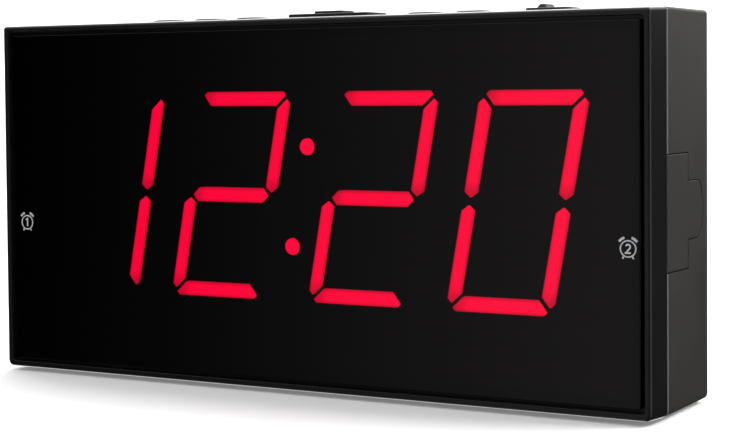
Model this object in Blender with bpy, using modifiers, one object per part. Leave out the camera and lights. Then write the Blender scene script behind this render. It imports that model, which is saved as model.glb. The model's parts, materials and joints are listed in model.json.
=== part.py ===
"""Desk alarm clock radio with a 46 mm LED display, as an assembly of separate pieces.

Run with: blender --background --python part.py

Sizes in this file are millimetres, and every helper turns them into Blender's metres. The
origin is on the table under the middle of the case: +X is the clock's right-hand end as
seen from the front, the display faces -Y and +Z is up.
"""

import math

import bmesh
import bpy
from mathutils import Vector

MM = 0.001

# Case. The bezel tapers from the parting line to its front.
CASE_WIDTH = 162.4
CASE_HEIGHT = 81.3
CASE_DEPTH = 32.5
FRONT_WIDTH = 161.6
FRONT_HEIGHT = 80.5
FOOT_HEIGHT = 0.6
FRONT = -CASE_DEPTH / 2
BACK = CASE_DEPTH / 2
BOTTOM = FOOT_HEIGHT
TOP = BOTTOM + CASE_HEIGHT
CASE_MIDDLE = (BOTTOM + TOP) / 2
TOP_CORNER = 0.8
BOTTOM_CORNER = 1.5
FRONT_EDGE = 0.65
PARTING_EDGE = 0.15
SHELL_EDGE = 0.3
SIDE_WALL = 2.7
TOP_WALL = 2.4
BACK_WALL = 2.0
INSIDE_WIDTH = CASE_WIDTH - 2 * SIDE_WALL
INSIDE_HEIGHT = CASE_HEIGHT - 2 * TOP_WALL
FIT = 0.3

# Front bezel and window
BEZEL_DEPTH = 7.75
PARTING = FRONT + BEZEL_DEPTH
LIP_SIDE = 1.4
LIP_TOP = 1.35
LEDGE_FRONT = FRONT + 2.7
LEDGE_BACK = LEDGE_FRONT + 1.5
BEZEL_STEP = 1.5
WINDOW_GROOVE_SIDE = 1.0
WINDOW_GROOVE_TOP = 0.8
WINDOW_WIDTH = FRONT_WIDTH - 2 * (LIP_SIDE + WINDOW_GROOVE_SIDE)
WINDOW_HEIGHT = FRONT_HEIGHT - 2 * (LIP_TOP + WINDOW_GROOVE_TOP)
WINDOW_FRONT = FRONT + 0.6
WINDOW_THICKNESS = 1.5
WINDOW_BACK = WINDOW_FRONT + WINDOW_THICKNESS
LEDGE_OPENING_WIDTH = 150.0
LEDGE_OPENING_HEIGHT = 70.0

# Display
DISPLAY_MIDDLE = 42.95
DISPLAY_FACE = WINDOW_BACK + FIT
REFLECTOR_SIZE = (138.0, 50.0, 6.5)
SLANT = 0.183
DIGIT_PITCH = 33.4
DIGIT_NEAR_COLON = 17.95
DIGIT_HALF_WIDTH = 12.05
DIGIT_HALF_HEIGHT = 22.75
SEGMENT = 3.1
COLON_RADIUS = 1.8
COLON_RISE = 10.85
SLOT_GAP = 0.15
LENS_PLATE = 0.8
DISPLAY_BOARD_FRONT = DISPLAY_FACE + REFLECTOR_SIZE[2] + 1.3
BOARD = 1.6

# Screws that pull the two halves together
SCREW_X = 74.6
SCREW_HEIGHTS = (6.9, 75.6)
POST_RADIUS = 2.7
TUNNEL_RADIUS = 4.0
TUNNEL_BORE = 2.9
TUNNEL_FLOOR = 2.0
SHANK_RADIUS = 1.3

# Controls along the top
CONTROL_Y = 2.55
KEY_SIZE = (8.0, 6.5)
SNOOZE_SIZE = (21.0, 9.0)
SWITCH_STEM = (3.6, 1.8)
OPENING_GAP = 0.2
BUTTON_X = {
    "clock_set_button": -45.6,
    "alarm_1_button": -34.0,
    "alarm_2_button": -22.4,
    "down_button": 22.4,
    "up_button": 34.0,
}
SNOOZE_X = 0.0
SWITCH_X = 52.3
SWITCH_TRAVEL = 2.0
FLANGE_TOP = TOP - TOP_WALL - FIT
FLANGE_BASE = FLANGE_TOP - 1.1
STEM_BASE = FLANGE_BASE - 1.0
KEY_BOARD_TOP = 73.0
KEY_BOARD_X = (-56.0, 66.0)
KEY_BOARD_DEPTH = 10.4
TACT_SIZE = 6.0
PLUNGER_RADIUS = 1.6

# Inside, behind the display
SPEAKER_X = -38.0
SPEAKER_Z = 41.25
SPEAKER_RADIUS = 25.0
MAIN_BOARD_FRONT = 1.75
MAIN_BOARD_BACK = MAIN_BOARD_FRONT + BOARD
INNER_BACK = BACK - BACK_WALL
CELL_X = 50.0
CELL_Z = 23.0
CELL_RADIUS = 10.0
JACK_X = 16.5
JACK_Z = 14.5
AERIAL_X = 2.0

FOOT_RADIUS = 3.6
FOOT_X = 66.0
FOOT_Y = (-2.6, 11.0)

BLACK_ABS = (0.016, 0.016, 0.017)
DARK_ABS = (0.030, 0.030, 0.031)

FACING = {
    "top": (0.0, 0.0, 0.0),
    "front": (math.pi / 2, 0.0, 0.0),
    "side": (math.pi / 2, 0.0, math.pi / 2),
}


# ---------------------------------------------------------------- scene and materials


def clear_scene():
    for old in list(bpy.data.objects):
        bpy.data.objects.remove(old, do_unlink=True)


def new_collection(name):
    collection = bpy.data.collections.new(name)
    bpy.context.scene.collection.children.link(collection)
    return collection


def paint(obj, colour, roughness=0.5, metallic=0.0):
    """Gives the object its own Principled material."""
    material = bpy.data.materials.new(obj.name)
    material.use_nodes = True
    shader = material.node_tree.nodes["Principled BSDF"]
    shader.inputs["Base Color"].default_value = (*colour, 1.0)
    shader.inputs["Roughness"].default_value = roughness
    shader.inputs["Metallic"].default_value = metallic
    material.diffuse_color = (*colour, 1.0)
    obj.data.materials.clear()
    obj.data.materials.append(material)
    return obj


# ---------------------------------------------------------------- outlines


def circle(radius, centre=(0.0, 0.0), steps=32):
    turn = 2 * math.pi / steps
    return [
        (centre[0] + radius * math.cos(i * turn), centre[1] + radius * math.sin(i * turn))
        for i in range(steps)
    ]


def rounded_rectangle(width, height, radius, centre=(0.0, 0.0), steps=5):
    """Anticlockwise points, with each corner an arc of the given number of steps."""
    points = []
    for quarter, (sx, sy) in enumerate(((1, 1), (-1, 1), (-1, -1), (1, -1))):
        cx = centre[0] + sx * (width / 2 - radius)
        cy = centre[1] + sy * (height / 2 - radius)
        for i in range(steps + 1):
            angle = math.pi / 2 * (quarter + i / steps)
            points.append((cx + radius * math.cos(angle), cy + radius * math.sin(angle)))
    return points


def case_outline(width, height, inset=0.0, steps=5):
    """The case seen from the front, about its middle, with tighter corners at the top."""
    half_width = width / 2 - inset
    half_height = height / 2 - inset
    points = []
    for quarter, (sx, sz) in enumerate(((1, 1), (-1, 1), (-1, -1), (1, -1))):
        radius = (TOP_CORNER if sz > 0 else BOTTOM_CORNER) - inset
        x = sx * (half_width - radius)
        z = sz * (half_height - radius)
        for i in range(steps + 1):
            angle = math.pi / 2 * (quarter + i / steps)
            points.append((x + radius * math.cos(angle), z + radius * math.sin(angle)))
    return points


def rectangle(width, height, centre=(0.0, 0.0)):
    x, y = centre
    half_w, half_h = width / 2, height / 2
    return [
        (x + half_w, y + half_h),
        (x - half_w, y + half_h),
        (x - half_w, y - half_h),
        (x + half_w, y - half_h),
    ]


def grown(points, distance):
    """The convex anticlockwise outline with each side moved outwards by distance."""
    sides = []
    for (x0, y0), (x1, y1) in zip(points, points[1:] + points[:1]):
        along = Vector((x1 - x0, y1 - y0)).normalized()
        out = Vector((along.y, -along.x))
        sides.append((Vector((x0, y0)) + out * distance, along))
    moved = []
    for (start_a, along_a), (start_b, along_b) in zip(sides[-1:] + sides[:-1], sides):
        gap = start_b - start_a
        cross = along_a.x * along_b.y - along_a.y * along_b.x
        reach = (gap.x * along_b.y - gap.y * along_b.x) / cross
        moved.append(tuple(start_a + along_a * reach))
    return moved


def slanted(points):
    return [(x + SLANT * y, y) for x, y in points]


# ---------------------------------------------------------------- solids


def mesh_object(name, mesh, collection):
    obj = bpy.data.objects.new(name, mesh)
    collection.objects.link(obj)
    return obj


def extruded(name, outlines, thickness, centre, facing="top"):
    """A flat solid. Outlines inside others are holes, and separate ones are separate bodies."""
    curve = bpy.data.curves.new(name, "CURVE")
    curve.dimensions = "2D"
    curve.fill_mode = "BOTH"
    curve.extrude = thickness / 2 * MM
    for outline in outlines:
        spline = curve.splines.new("POLY")
        spline.points.add(len(outline) - 1)
        for point, (x, y) in zip(spline.points, outline):
            point.co = (x * MM, y * MM, 0.0, 1.0)
        spline.use_cyclic_u = True
    guide = bpy.data.objects.new(name + "_outline", curve)
    parts.objects.link(guide)
    graph = bpy.context.evaluated_depsgraph_get()
    mesh = bpy.data.meshes.new_from_object(guide.evaluated_get(graph))
    bpy.data.objects.remove(guide)
    bpy.data.curves.remove(curve)
    mesh.name = name
    bm = bmesh.new()
    bm.from_mesh(mesh)
    bmesh.ops.remove_doubles(bm, verts=bm.verts, dist=0.002 * MM)
    bmesh.ops.dissolve_limit(
        bm, angle_limit=math.radians(1), verts=bm.verts, edges=bm.edges
    )
    if len(outlines) > 1:
        caps = [face for face in bm.faces if len(face.verts) > 4]
        bmesh.ops.triangulate(bm, faces=caps)
    bmesh.ops.recalc_face_normals(bm, faces=bm.faces)
    bm.to_mesh(mesh)
    bm.free()
    obj = mesh_object(name, mesh, parts)
    obj.rotation_euler = FACING[facing]
    obj.location = Vector(centre) * MM
    return obj


def box(name, size, centre):
    """A box from its size and centre."""
    bm = bmesh.new()
    bmesh.ops.create_cube(bm, size=1.0)
    bmesh.ops.scale(bm, vec=Vector(size) * MM, verts=bm.verts)
    mesh = bpy.data.meshes.new(name)
    bm.to_mesh(mesh)
    bm.free()
    obj = mesh_object(name, mesh, parts)
    obj.location = Vector(centre) * MM
    return obj


def drum(name, radius, length, centre, facing="front", steps=32):
    return extruded(name, [circle(radius, steps=steps)], length, centre, facing)


def turned(name, profile, centre, facing="front", steps=40, closed=False):
    """A turned solid. The profile holds (radius, height) points, run down its outer side."""
    mesh = bpy.data.meshes.new(name)
    points = [(radius * MM, 0.0, height * MM) for radius, height in profile]
    edges = [(i, i + 1) for i in range(len(points) - 1)]
    if closed:
        edges.append((len(points) - 1, 0))
    mesh.from_pydata(points, edges, [])
    obj = mesh_object(name, mesh, parts)
    obj.rotation_euler = FACING[facing]
    obj.location = Vector(centre) * MM
    screw = obj.modifiers.new("Turn", "SCREW")
    screw.axis = "Z"
    screw.angle = 2 * math.pi
    screw.steps = steps
    screw.render_steps = steps
    screw.use_merge_vertices = True
    screw.merge_threshold = 0.01 * MM
    return obj


def stacked(name, levels, centre):
    """A solid skinned over horizontal outlines, each (height, width, depth, radius, shift in X)."""
    outlines = []
    for height, width, depth, radius, shift in levels:
        outline = rounded_rectangle(width, depth, radius, (shift, 0.0))
        outlines.append([(x, y, height) for x, y in outline])
    return skinned(name, outlines, centre)


def skinned(name, outlines, centre):
    """A solid whose skin joins each outline of 3-D points to the next, with flat ends."""
    bm = bmesh.new()
    rings = [[bm.verts.new(Vector(point) * MM) for point in outline] for outline in outlines]
    for low, high in zip(rings, rings[1:]):
        for i in range(len(low)):
            bm.faces.new((low[i - 1], low[i], high[i], high[i - 1]))
    bm.faces.new(rings[0])
    bm.faces.new(rings[-1])
    bmesh.ops.recalc_face_normals(bm, faces=bm.faces)
    mesh = bpy.data.meshes.new(name)
    bm.to_mesh(mesh)
    bm.free()
    obj = mesh_object(name, mesh, parts)
    obj.location = Vector(centre) * MM
    return obj


def rounded_edges(obj, width, segments=2, angle=40.0):
    bevel = obj.modifiers.new("Rounded edges", "BEVEL")
    bevel.width = width * MM
    bevel.segments = segments
    bevel.limit_method = "ANGLE"
    bevel.angle_limit = math.radians(angle)
    return obj


def combined(target, tool, operation):
    """Cuts the tool out of the target or adds it, and puts the tool away as a cutter."""
    modifier = target.modifiers.new(tool.name, "BOOLEAN")
    modifier.operation = operation
    modifier.solver = "EXACT"
    modifier.object = tool
    if tool.name in parts.objects:
        parts.objects.unlink(tool)
        cutters.objects.link(tool)
    tool.hide_render = True
    tool.display_type = "WIRE"
    return target


def cut(target, tool):
    return combined(target, tool, "DIFFERENCE")


def add(target, tool):
    return combined(target, tool, "UNION")


def along_y(front, back):
    """(length, middle) of a stretch from front to back."""
    return back - front, (front + back) / 2


# ---------------------------------------------------------------- case


def case_half(name, front, back):
    """One half of the case as a solid. Each end is (y, width, height, radius of its edge)."""
    steps = 3
    outlines = []
    for (y, width, height, edge), inwards in ((front, 1), (back, -1)):
        rounding = []
        for i in range(steps + 1):
            angle = math.pi / 2 * i / steps
            inset = edge * (1 - math.sin(angle))
            level = y + inwards * edge * (1 - math.cos(angle))
            outline = case_outline(width, height, inset)
            rounding.append([(x, level, z) for x, z in outline])
        outlines += rounding[::inwards]
    return skinned(name, outlines, (0, 0, CASE_MIDDLE))


def screw_places():
    return [(x, z) for z in SCREW_HEIGHTS for x in (-SCREW_X, SCREW_X)]


def front_bezel():
    bezel = case_half(
        "front_bezel",
        (FRONT, FRONT_WIDTH, FRONT_HEIGHT, FRONT_EDGE),
        (PARTING, CASE_WIDTH, CASE_HEIGHT, PARTING_EDGE),
    )
    hollow_width = INSIDE_WIDTH - 2 * BEZEL_STEP
    hollow_height = INSIDE_HEIGHT - 2 * BEZEL_STEP
    length, middle = along_y(PARTING - 1.0, PARTING + 2.0)
    tongue = (INSIDE_WIDTH - 2 * FIT, length, INSIDE_HEIGHT - 2 * FIT)
    add(bezel, box("bezel_tongue", tongue, (0, middle, CASE_MIDDLE)))
    length, middle = along_y(LEDGE_BACK, PARTING + 3.0)
    cut(bezel, box("bezel_hollow", (hollow_width, length, hollow_height), (0, middle, CASE_MIDDLE)))
    length, middle = along_y(FRONT - 2.0, LEDGE_FRONT)
    recess = rounded_rectangle(FRONT_WIDTH - 2 * LIP_SIDE, FRONT_HEIGHT - 2 * LIP_TOP, 0.8)
    cut(bezel, extruded("window_recess", [recess], length, (0, middle, CASE_MIDDLE), "front"))
    opening = (LEDGE_OPENING_WIDTH, 20.0, LEDGE_OPENING_HEIGHT)
    cut(bezel, box("ledge_opening", opening, (0, LEDGE_BACK, CASE_MIDDLE)))
    post_end = TUNNEL_FLOOR - FIT
    outlines = [circle(POST_RADIUS, (x, z - CASE_MIDDLE), 24) for x, z in screw_places()]
    length, middle = along_y(LEDGE_BACK - 0.5, post_end)
    add(bezel, extruded("screw_posts", outlines, length, (0, middle, CASE_MIDDLE), "front"))
    outlines = [
        circle(SHANK_RADIUS + 0.2, (x, z - CASE_MIDDLE), 16) for x, z in screw_places()
    ]
    length, middle = along_y(post_end - 10.5, post_end + 1.0)
    cut(bezel, extruded("post_bores", outlines, length, (0, middle, CASE_MIDDLE), "front"))
    paint(bezel, BLACK_ABS, 0.35)


def window_and_gasket():
    window = extruded(
        "display_window",
        [rounded_rectangle(WINDOW_WIDTH, WINDOW_HEIGHT, 0.6, steps=3)],
        WINDOW_THICKNESS,
        (0, (WINDOW_FRONT + WINDOW_BACK) / 2, CASE_MIDDLE),
        "front",
    )
    rounded_edges(window, 0.25, segments=1)
    paint(window, (0.012, 0.010, 0.011), 0.08)
    length, middle = along_y(WINDOW_BACK + 0.1, LEDGE_FRONT - 0.1)
    gasket = extruded(
        "window_gasket",
        [rectangle(155.0, 74.5), rectangle(151.4, 71.4)],
        length,
        (0, middle, CASE_MIDDLE),
        "front",
    )
    paint(gasket, (0.02, 0.02, 0.02), 0.9)


# The cover closes a notch in the right wall, open to the parting line, with a round tab behind.
COVER_FRONT = PARTING + FIT
COVER_STEP = 4.05
COVER_BACK = 13.35
COVER_HEIGHTS = (29.1, 52.85)
TAB_HEIGHTS = (34.95, 47.15)


def cover_outline(gap, front):
    """The side cover's outline, made smaller all round by gap."""
    low, high = COVER_HEIGHTS[0] + gap, COVER_HEIGHTS[1] - gap
    tab_low, tab_high = TAB_HEIGHTS[0] + gap, TAB_HEIGHTS[1] - gap
    step = COVER_STEP - gap
    tip = COVER_BACK - gap
    radius = 3.0
    bulge = 0.9
    half = (tab_high - tab_low) / 2
    middle = (tab_high + tab_low) / 2
    points = [(front, low), (step, low), (step, tab_low)]
    for i in range(5):
        angle = math.pi / 2 * (i / 4 - 1)
        x = tip - bulge - radius + radius * math.cos(angle)
        points.append((x, tab_low + radius + radius * math.sin(angle)))
    straight = half - radius
    for i in range(1, 8):
        across = i / 4 - 1
        points.append((tip - bulge * across * across, middle + straight * across))
    for i in range(5):
        angle = math.pi / 2 * i / 4
        x = tip - bulge - radius + radius * math.cos(angle)
        points.append((x, tab_high - radius + radius * math.sin(angle)))
    points += [(step, tab_high), (step, high), (front, high)]
    return points


def speaker_slots():
    """Outlines of the sound slots, as a round field of rows, about the speaker's middle."""
    field = 20.0
    rows = 9
    pitch = 2 * field / rows
    slots = []
    for row in range(rows):
        z = (row - (rows - 1) / 2) * pitch
        length = 2 * math.sqrt(field * field - z * z)
        slots.append(rounded_rectangle(length, 1.8, 0.89, (0, z), steps=3))
    return slots


def button_openings():
    key_width, key_depth = (size + 2 * OPENING_GAP for size in KEY_SIZE)
    openings = [rounded_rectangle(key_width, key_depth, 3.0, (x, 0)) for x in BUTTON_X.values()]
    snooze_width, snooze_depth = (size + 2 * OPENING_GAP for size in SNOOZE_SIZE)
    openings.append(rounded_rectangle(snooze_width, snooze_depth, 1.2, (SNOOZE_X, 0)))
    slot_width = SWITCH_STEM[0] + 2 * (SWITCH_TRAVEL + FIT)
    openings.append(rounded_rectangle(slot_width, SWITCH_STEM[1] + 0.8, 0.6, (SWITCH_X, 0)))
    return openings


def rear_shell():
    shell = case_half(
        "rear_shell",
        (PARTING + FIT, CASE_WIDTH, CASE_HEIGHT, SHELL_EDGE),
        (BACK, CASE_WIDTH, CASE_HEIGHT, FRONT_EDGE),
    )
    length, middle = along_y(PARTING - 3.0, INNER_BACK)
    cut(shell, box("shell_hollow", (INSIDE_WIDTH, length, INSIDE_HEIGHT), (0, middle, CASE_MIDDLE)))
    length, middle = along_y(TUNNEL_FLOOR, INNER_BACK + 0.5)
    outlines = [circle(TUNNEL_RADIUS, (x, z - CASE_MIDDLE), 24) for x, z in screw_places()]
    add(shell, extruded("screw_tunnels", outlines, length, (0, middle, CASE_MIDDLE), "front"))
    for x in KEY_BOARD_X:
        inward = 2.0 if x < 0 else -2.0
        height = TOP - TOP_WALL + 0.5 - (KEY_BOARD_TOP + 0.15)
        centre = (x + inward, CONTROL_Y, KEY_BOARD_TOP + 0.15 + height / 2)
        add(shell, box("key_board_post", (3.0, 7.0, height), centre))
    outlines = [circle(TUNNEL_BORE, (x, z - CASE_MIDDLE), 24) for x, z in screw_places()]
    length, middle = along_y(TUNNEL_FLOOR + 1.4, BACK + 2.0)
    cut(shell, extruded("tunnel_bores", outlines, length, (0, middle, CASE_MIDDLE), "front"))
    outlines = [
        circle(SHANK_RADIUS + 0.3, (x, z - CASE_MIDDLE), 16) for x, z in screw_places()
    ]
    cut(
        shell,
        extruded("shank_holes", outlines, 6.0, (0, TUNNEL_FLOOR + 0.5, CASE_MIDDLE), "front"),
    )
    cut(shell, extruded("button_openings", button_openings(), 8.0, (0, CONTROL_Y, TOP - 1.0)))
    place = (SPEAKER_X, BACK - 1.0, SPEAKER_Z)
    cut(shell, extruded("sound_slots", speaker_slots(), 8.0, place, "front"))
    place = (CELL_X, BACK - 1.0, CELL_Z)
    cut(shell, extruded("cell_opening", [rectangle(26.0, 24.0)], 8.0, place, "front"))
    place = (CELL_X, BACK + 1.0, CELL_Z)
    rim = rounded_rectangle(28.0, 26.0, 1.5)
    cut(shell, extruded("door_recess", [rim], 4.0, place, "front"))
    cut(shell, drum("jack_hole", 4.2, 8.0, (JACK_X, BACK - 1.0, JACK_Z)))
    cut(shell, drum("aerial_hole", 2.5, 8.0, (AERIAL_X, BACK - 1.0, JACK_Z), steps=24))
    notch = cover_outline(0.0, PARTING - 2.0)
    cut(shell, extruded("cover_notch", [notch], 8.0, (CASE_WIDTH / 2, 0, 0), "side"))
    feet = [circle(FOOT_RADIUS + FIT, (x, y)) for x in (-FOOT_X, FOOT_X) for y in FOOT_Y]
    cut(shell, extruded("foot_pockets", feet, 1.6, (0, 0, BOTTOM)))
    paint(shell, DARK_ABS, 0.62)


def side_cover():
    outer = CASE_WIDTH / 2
    cover = extruded(
        "side_cover",
        [cover_outline(0.2, COVER_FRONT)],
        SIDE_WALL,
        (outer - SIDE_WALL / 2, 0, 0),
        "side",
    )
    # Its backing plate is larger than the notch, so the plate stays behind the wall.
    front, back = PARTING + 3.4, INNER_BACK - 0.3
    middle = (front + back) / 2
    height = sum(COVER_HEIGHTS) / 2
    backing_x = outer - SIDE_WALL - FIT - 0.55
    add(cover, box("cover_backing", (1.1, back - front, 26.6), (backing_x, middle, height)))
    front, back = front + 0.3, COVER_STEP - 1.0
    middle = (front + back) / 2
    add(cover, box("cover_pad", (2.0, back - front, 20.0), (backing_x + 1.0, middle, height)))
    paint(cover, DARK_ABS, 0.6)


def battery_door():
    length, middle = along_y(BACK - 0.85, BACK)
    door = extruded(
        "battery_door",
        [rounded_rectangle(27.5, 25.5, 1.3)],
        length,
        (CELL_X, middle, CELL_Z),
        "front",
    )
    length, middle = along_y(INNER_BACK - 0.6, BACK - 0.5)
    add(door, box("door_plug", (25.4, length, 23.4), (CELL_X, middle, CELL_Z)))
    nail_slot = rounded_rectangle(9.0, 1.6, 0.79, (0, 9.0), steps=3)
    place = (CELL_X, BACK, CELL_Z)
    cut(door, extruded("nail_slot", [nail_slot], 1.0, place, "front"))
    paint(door, DARK_ABS, 0.6)


def feet():
    names = iter(("foot_front_left", "foot_rear_left", "foot_front_right", "foot_rear_right"))
    for x in (-FOOT_X, FOOT_X):
        for y in FOOT_Y:
            profile = [
                (0.0, FOOT_HEIGHT + 0.5),
                (FOOT_RADIUS, FOOT_HEIGHT + 0.5),
                (FOOT_RADIUS, 0.25),
                (FOOT_RADIUS - 0.3, 0.0),
                (0.0, 0.0),
            ]
            foot = turned(next(names), profile, (x, y, 0), "top", 28)
            paint(foot, (0.02, 0.02, 0.02), 0.85)


def case_screws():
    head_seat = TUNNEL_FLOOR + 1.4 + 0.15
    for number, (x, z) in enumerate(screw_places(), 1):
        profile = [
            (0.0, 12.3),
            (SHANK_RADIUS - 0.7, 12.3),
            (SHANK_RADIUS, 11.3),
            (SHANK_RADIUS, 1.8),
            (2.6, 1.8),
            (2.6, 0.5),
            (1.9, 0.0),
            (0.0, 0.0),
        ]
        screw = turned(f"case_screw_{number}", profile, (x, head_seat + 1.8, z), steps=24)
        for i, size in enumerate(((3.0, 1.8, 0.7), (0.7, 1.8, 3.0))):
            cut(screw, box(f"screw_cross_{number}_{i}", size, (x, head_seat + 1.8, z)))
        paint(screw, (0.55, 0.55, 0.56), 0.35, 1.0)


# ---------------------------------------------------------------- display


def segment_outlines():
    """The seven segments of one upright digit, about its middle, each anticlockwise."""
    right = DIGIT_HALF_WIDTH
    top = DIGIT_HALF_HEIGHT
    bar = SEGMENT
    upper_bar = [
        (right - 3.6, top - bar),
        (right - 1.45, top - 0.75),
        (right - 2.15, top),
        (-right + 2.15, top),
        (-right + 1.45, top - 0.75),
        (-right + 3.6, top - bar),
    ]
    middle_bar = [
        (right - 2.2, 0.0),
        (right - 3.55, bar / 2),
        (-right + 3.55, bar / 2),
        (-right + 2.2, 0.0),
        (-right + 3.55, -bar / 2),
        (right - 3.55, -bar / 2),
    ]
    upper_right = [
        (right - bar / 2, 0.75),
        (right, 2.0),
        (right, top - 2.6),
        (right - 1.0, top - 1.65),
        (right - bar, top - 3.85),
        (right - bar, 1.95),
    ]

    def mirrored(points, sx, sy):
        flipped = [(sx * x, sy * y) for x, y in points]
        return flipped if sx * sy > 0 else flipped[::-1]

    return {
        "a": upper_bar,
        "b": upper_right,
        "c": mirrored(upper_right, 1, -1),
        "d": mirrored(upper_bar, 1, -1),
        "e": mirrored(upper_right, -1, -1),
        "f": mirrored(upper_right, -1, 1),
        "g": middle_bar,
    }


def digit_places():
    far = DIGIT_NEAR_COLON + DIGIT_PITCH
    return (-far, -DIGIT_NEAR_COLON, DIGIT_NEAR_COLON, far)


def colon_dots(radius):
    return [circle(radius, (SLANT * z, z), 20) for z in (COLON_RISE, -COLON_RISE)]


def display_reflector():
    width, height, depth = REFLECTOR_SIZE
    outlines = [rectangle(width, height)]
    for x in digit_places():
        for segment in segment_outlines().values():
            slot = grown(slanted(segment), SLOT_GAP)
            outlines.append([(x + px, pz) for px, pz in slot])
    outlines += colon_dots(COLON_RADIUS + SLOT_GAP)
    middle = DISPLAY_FACE + depth / 2
    reflector = extruded("display_reflector", outlines, depth, (0, middle, DISPLAY_MIDDLE), "front")
    paint(reflector, (0.012, 0.012, 0.012), 0.7)


def lens(name, x, plate, bars):
    """A light guide: a plate behind the reflector, with a bar through each of its slots."""
    plate_front = DISPLAY_FACE + REFLECTOR_SIZE[2] + 0.15
    centre = (x, plate_front + LENS_PLATE / 2, DISPLAY_MIDDLE)
    guide = extruded(name, [plate], LENS_PLATE, centre, "front")
    length, middle = along_y(DISPLAY_FACE + 0.1, plate_front + LENS_PLATE / 2)
    place = (x, middle, DISPLAY_MIDDLE)
    add(guide, extruded(name + "_bars", bars, length, place, "front"))
    paint(guide, (0.75, 0.02, 0.05), 0.4)


def lenses():
    plate = slanted(rectangle(2 * DIGIT_HALF_WIDTH + 3.0, 2 * DIGIT_HALF_HEIGHT + 2.4))
    bars = [slanted(segment) for segment in segment_outlines().values()]
    for number, x in enumerate(digit_places(), 1):
        lens(f"digit_lens_{number}", x, plate, bars)
    lens("colon_lens", 0.0, slanted(rectangle(6.0, 27.0)), colon_dots(COLON_RADIUS))


def display_board():
    middle = DISPLAY_BOARD_FRONT + BOARD / 2
    board = box("display_board", (148.0, BOARD, 57.0), (0, middle, DISPLAY_MIDDLE))
    paint(board, (0.03, 0.13, 0.05), 0.45)


# ---------------------------------------------------------------- controls on the top


def push_button(name, x):
    width, depth = KEY_SIZE
    levels = [
        (STEM_BASE, 4.0, 4.0, 0.5, 0.0),
        (FLANGE_BASE, 4.0, 4.0, 0.5, 0.0),
        (FLANGE_BASE, width + 1.4, depth + 1.5, 3.0, 0.0),
        (FLANGE_TOP, width + 1.4, depth + 1.5, 3.0, 0.0),
        (FLANGE_TOP, width, depth, 2.8, 0.0),
        (TOP + 0.4, width, depth, 2.8, 0.0),
        (TOP + 0.65, width - 0.8, depth - 0.8, 2.5, 0.0),
        (TOP + 0.8, width - 2.6, depth - 2.6, 1.8, 0.0),
    ]
    button = stacked(name, levels, (x, CONTROL_Y, 0))
    paint(button, BLACK_ABS, 0.45)


def snooze_bar():
    width, depth = SNOOZE_SIZE
    raised = -0.8
    levels = [
        (STEM_BASE, 4.0, 4.0, 0.5, 0.0),
        (FLANGE_BASE, 4.0, 4.0, 0.5, 0.0),
        (FLANGE_BASE, width + 1.6, depth + 1.6, 1.5, 0.0),
        (FLANGE_TOP, width + 1.6, depth + 1.6, 1.5, 0.0),
        (FLANGE_TOP, width, depth, 1.1, 0.0),
        (TOP + 0.8, width, depth, 1.1, 0.0),
        (TOP + 1.05, width - 0.5, depth - 0.5, 0.9, 0.0),
        (TOP + 1.05, 7.6, 5.6, 0.8, raised),
        (TOP + 1.45, 7.6, 5.6, 0.8, raised),
        (TOP + 1.65, 7.2, 5.2, 0.7, raised),
    ]
    bar = stacked("snooze_bar", levels, (SNOOZE_X, CONTROL_Y, 0))
    paint(bar, BLACK_ABS, 0.45)


def slide_switch():
    base = TOP + 0.2
    width, depth = SWITCH_STEM
    ridge = -1.5
    levels = [
        (KEY_BOARD_TOP + 2.5, width, depth, 0.3, 0.0),
        (base, width, depth, 0.3, 0.0),
        (base, 10.0, 7.0, 0.8, 0.0),
        (base + 0.4, 10.0, 7.0, 0.8, 0.0),
        (base + 0.65, 9.5, 6.5, 0.6, 0.0),
        (base + 0.65, 2.6, 5.0, 0.5, ridge),
        (base + 1.2, 1.7, 4.6, 0.4, ridge),
        (base + 1.45, 0.9, 4.2, 0.3, ridge),
    ]
    knob = stacked("slide_switch_knob", levels, (SWITCH_X, CONTROL_Y, 0))
    paint(knob, BLACK_ABS, 0.4)
    housing = box("slide_switch_housing", (11.0, 5.0, 3.9), (SWITCH_X, CONTROL_Y, KEY_BOARD_TOP + 2.1))
    slot = rectangle(width + 2 * (SWITCH_TRAVEL + FIT), depth + 0.6)
    cut(housing, extruded("switch_slot", [slot], 4.0, (SWITCH_X, CONTROL_Y, KEY_BOARD_TOP + 4.1)))
    paint(housing, (0.5, 0.5, 0.5), 0.35, 1.0)


def key_board():
    left, right = KEY_BOARD_X
    centre = ((left + right) / 2, CONTROL_Y, KEY_BOARD_TOP - BOARD / 2)
    board = box("key_board", (right - left, KEY_BOARD_DEPTH, BOARD), centre)
    paint(board, (0.03, 0.13, 0.05), 0.45)


def tact_switch(name, x):
    """A tact switch on the key board, and its plunger, which moves with the button above."""
    base = KEY_BOARD_TOP + 0.1
    body = box(name + "_switch", (TACT_SIZE, TACT_SIZE, 3.0), (x, CONTROL_Y, base + 1.5))
    bore = drum(name + "_bore", PLUNGER_RADIUS + FIT, 4.0, (x, CONTROL_Y, base + 2.6), "top", 20)
    cut(body, bore)
    paint(body, (0.02, 0.02, 0.02), 0.4)
    top = STEM_BASE - 0.1
    length = top - (base + 1.2)
    place = (x, CONTROL_Y, top - length / 2)
    plunger = drum(name + "_plunger", PLUNGER_RADIUS, length, place, "top", 20)
    paint(plunger, (0.6, 0.55, 0.5), 0.4)


# ---------------------------------------------------------------- electronics and speaker


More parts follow.
